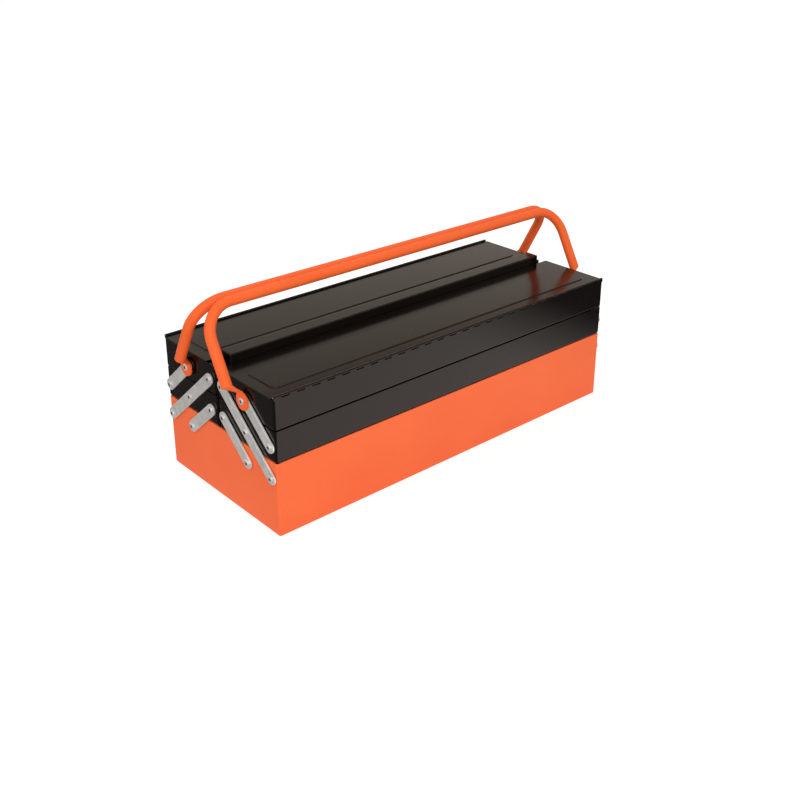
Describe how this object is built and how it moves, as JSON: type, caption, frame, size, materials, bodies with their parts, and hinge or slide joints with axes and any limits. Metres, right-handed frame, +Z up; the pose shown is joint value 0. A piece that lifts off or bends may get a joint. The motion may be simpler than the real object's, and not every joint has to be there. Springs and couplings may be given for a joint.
{
  "type": "cantilever tool box",
  "caption": "Sheet steel cantilever tool box with half-depth trays that swing out on flat links, hinged lids and folding tube handles.",
  "frame": {"origin": "centre of the bottom box's underside, on the ground", "axes": "+X along the length, -Y is the front, +Z up"},
  "size_m": [0.5724, 0.218, 0.2443],
  "materials": {
    "orange_paint": "satin powder coat",
    "orange_tube_paint": "satin powder coat",
    "black_paint": "gloss enamel",
    "link_zinc": "zinc plated",
    "rivet_zinc": "zinc plated",
    "washer_zinc": "zinc plated",
    "rod_steel": "drawn wire"
  },
  "bodies": {
    "bottom_box": {"bottom_box": "orange_paint", "bottom_box_rivets": "rivet_zinc", "bottom_box_washers": "washer_zinc"},
    "front_long_links": {"front_long_link_left": "link_zinc", "front_long_link_right": "link_zinc"},
    "front_lower_tray": {"front_lower_tray": "black_paint", "front_lower_tray_rivets": "rivet_zinc", "front_lower_tray_washers": "washer_zinc"},
    "front_upper_tray": {"front_upper_tray": "black_paint", "front_upper_tray_rivets": "rivet_zinc", "front_upper_tray_washers": "washer_zinc", "front_handle_rivets": "rivet_zinc", "front_hinge_rod": "rod_steel"},
    "front_lower_short_links": {"front_lower_short_link_left": "link_zinc", "front_lower_short_link_right": "link_zinc"},
    "front_upper_short_links": {"front_upper_short_link_left": "link_zinc", "front_upper_short_link_right": "link_zinc"},
    "front_lid": {"front_lid": "black_paint"},
    "front_handle": {"front_handle": "orange_tube_paint"},
    "rear_long_links": {"rear_long_link_left": "link_zinc", "rear_long_link_right": "link_zinc"},
    "rear_lower_tray": {"rear_lower_tray": "black_paint", "rear_lower_tray_rivets": "rivet_zinc", "rear_lower_tray_washers": "washer_zinc"},
    "rear_upper_tray": {"rear_upper_tray": "black_paint", "rear_upper_tray_rivets": "rivet_zinc", "rear_upper_tray_washers": "washer_zinc", "rear_handle_rivets": "rivet_zinc", "rear_hinge_rod": "rod_steel"},
    "rear_lower_short_links": {"rear_lower_short_link_left": "link_zinc", "rear_lower_short_link_right": "link_zinc"},
    "rear_upper_short_links": {"rear_upper_short_link_left": "link_zinc", "rear_upper_short_link_right": "link_zinc"},
    "rear_lid": {"rear_lid": "black_paint"},
    "rear_handle": {"rear_handle": "orange_tube_paint"}
  },
  "joints": [
    {"name": "front_fold", "type": "hinge", "parent": "bottom_box", "child": "front_long_links", "pos_m": [0, -0.1005, 0.0692], "axis": [1, 0, 0], "range_deg": [0, 98]},
    {"name": "front_lower_tray_pivot", "type": "hinge", "parent": "front_long_links", "child": "front_lower_tray", "pos_m": [0, -0.0565, 0.1072], "axis": [1, 0, 0], "range_deg": [-98, 0]},
    {"name": "front_upper_tray_pivot", "type": "hinge", "parent": "front_long_links", "child": "front_upper_tray", "pos_m": [0, -0.0125, 0.1452], "axis": [1, 0, 0], "range_deg": [-98, 0]},
    {"name": "front_lower_short_link_pivot", "type": "hinge", "parent": "bottom_box", "child": "front_lower_short_links", "pos_m": [0, -0.0565, 0.0692], "axis": [1, 0, 0], "range_deg": [0, 98]},
    {"name": "front_upper_short_link_pivot", "type": "hinge", "parent": "front_lower_tray", "child": "front_upper_short_links", "pos_m": [0, -0.1005, 0.1072], "axis": [1, 0, 0], "range_deg": [0, 98]},
    {"name": "front_lid_hinge", "type": "hinge", "parent": "front_upper_tray", "child": "front_lid", "pos_m": [0, -0.1074, 0.1663], "axis": [1, 0, 0], "range_deg": [0, 110]},
    {"name": "front_handle_pivot", "type": "hinge", "parent": "front_upper_tray", "child": "front_handle", "pos_m": [0, -0.0565, 0.1452], "axis": [1, 0, 0], "range_deg": [0, 137]},
    {"name": "rear_fold", "type": "hinge", "parent": "bottom_box", "child": "rear_long_links", "pos_m": [0, 0.1005, 0.0692], "axis": [-1, 0, 0], "range_deg": [0, 98]},
    {"name": "rear_lower_tray_pivot", "type": "hinge", "parent": "rear_long_links", "child": "rear_lower_tray", "pos_m": [0, 0.0565, 0.1072], "axis": [-1, 0, 0], "range_deg": [-98, 0]},
    {"name": "rear_upper_tray_pivot", "type": "hinge", "parent": "rear_long_links", "child": "rear_upper_tray", "pos_m": [0, 0.0125, 0.1452], "axis": [-1, 0, 0], "range_deg": [-98, 0]},
    {"name": "rear_lower_short_link_pivot", "type": "hinge", "parent": "bottom_box", "child": "rear_lower_short_links", "pos_m": [0, 0.0565, 0.0692], "axis": [-1, 0, 0], "range_deg": [0, 98]},
    {"name": "rear_upper_short_link_pivot", "type": "hinge", "parent": "rear_lower_tray", "child": "rear_upper_short_links", "pos_m": [0, 0.1005, 0.1072], "axis": [-1, 0, 0], "range_deg": [0, 98]},
    {"name": "rear_lid_hinge", "type": "hinge", "parent": "rear_upper_tray", "child": "rear_lid", "pos_m": [0, 0.1074, 0.1663], "axis": [-1, 0, 0], "range_deg": [0, 110]},
    {"name": "rear_handle_pivot", "type": "hinge", "parent": "rear_upper_tray", "child": "rear_handle", "pos_m": [0, 0.0565, 0.1452], "axis": [-1, 0, 0], "range_deg": [0, 137]}
  ],
  "couplings": [
    {"joint": "front_lower_tray_pivot", "follows": "front_fold", "ratio": -1},
    {"joint": "front_upper_tray_pivot", "follows": "front_fold", "ratio": -1},
    {"joint": "front_lower_short_link_pivot", "follows": "front_fold", "ratio": 1},
    {"joint": "front_upper_short_link_pivot", "follows": "front_fold", "ratio": 1},
    {"joint": "rear_lower_tray_pivot", "follows": "rear_fold", "ratio": -1},
    {"joint": "rear_upper_tray_pivot", "follows": "rear_fold", "ratio": -1},
    {"joint": "rear_lower_short_link_pivot", "follows": "rear_fold", "ratio": 1},
    {"joint": "rear_upper_short_link_pivot", "follows": "rear_fold", "ratio": 1}
  ]
}
